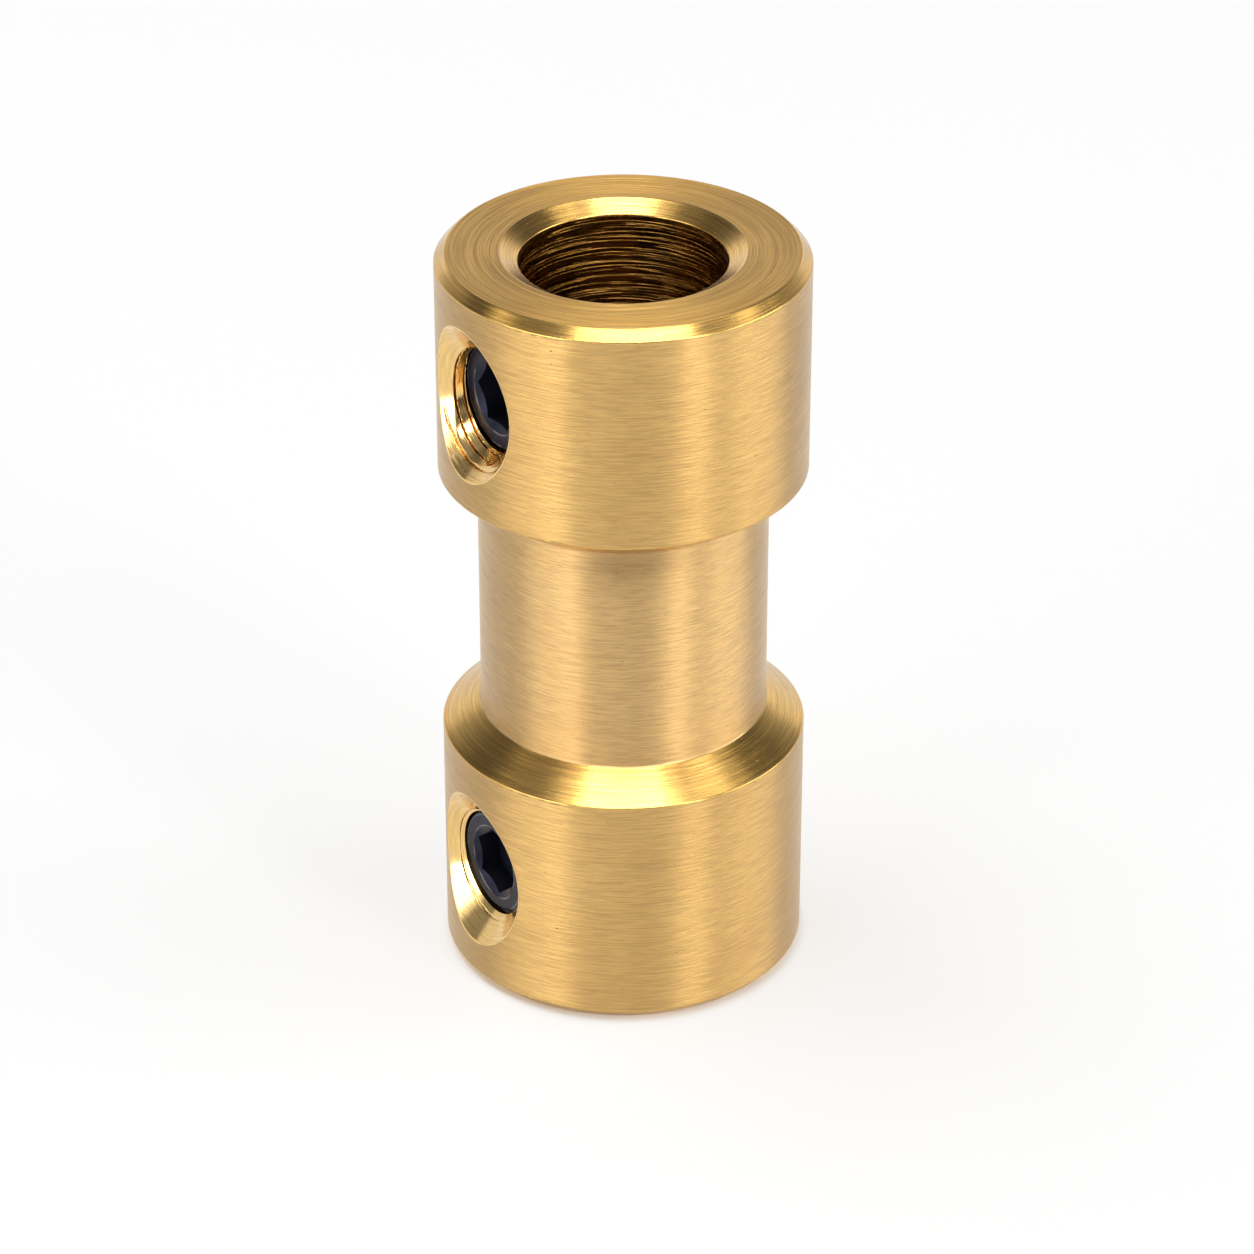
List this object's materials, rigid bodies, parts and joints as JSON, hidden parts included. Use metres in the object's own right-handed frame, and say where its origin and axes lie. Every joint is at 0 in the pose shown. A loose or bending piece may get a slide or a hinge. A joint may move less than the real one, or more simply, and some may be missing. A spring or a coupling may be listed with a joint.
{
  "type": "rigid shaft coupling",
  "caption": "Turned brass sleeve with a through bore, a slimmer waist between two hubs, and a hexagon socket set screw in a countersunk tapped hole in each hub.",
  "frame": {"origin": "centre of the lower end face, on the axis of the bore", "axes": "+Z along the bore from the lower hub to the upper hub; the set screws lie in the YZ plane and face -Y; +X to the right as seen from the screws' side"},
  "size_m": [0.009, 0.009, 0.019],
  "materials": {
    "brass": "fine turned brass, bare, with circular tool marks on the end faces and shoulders",
    "black_steel": "black oxide on steel, satin"
  },
  "bodies": {
    "root": {"coupling_body": "brass", "upper_set_screw": "black_steel", "lower_set_screw": "black_steel"}
  },
  "joints": []
}
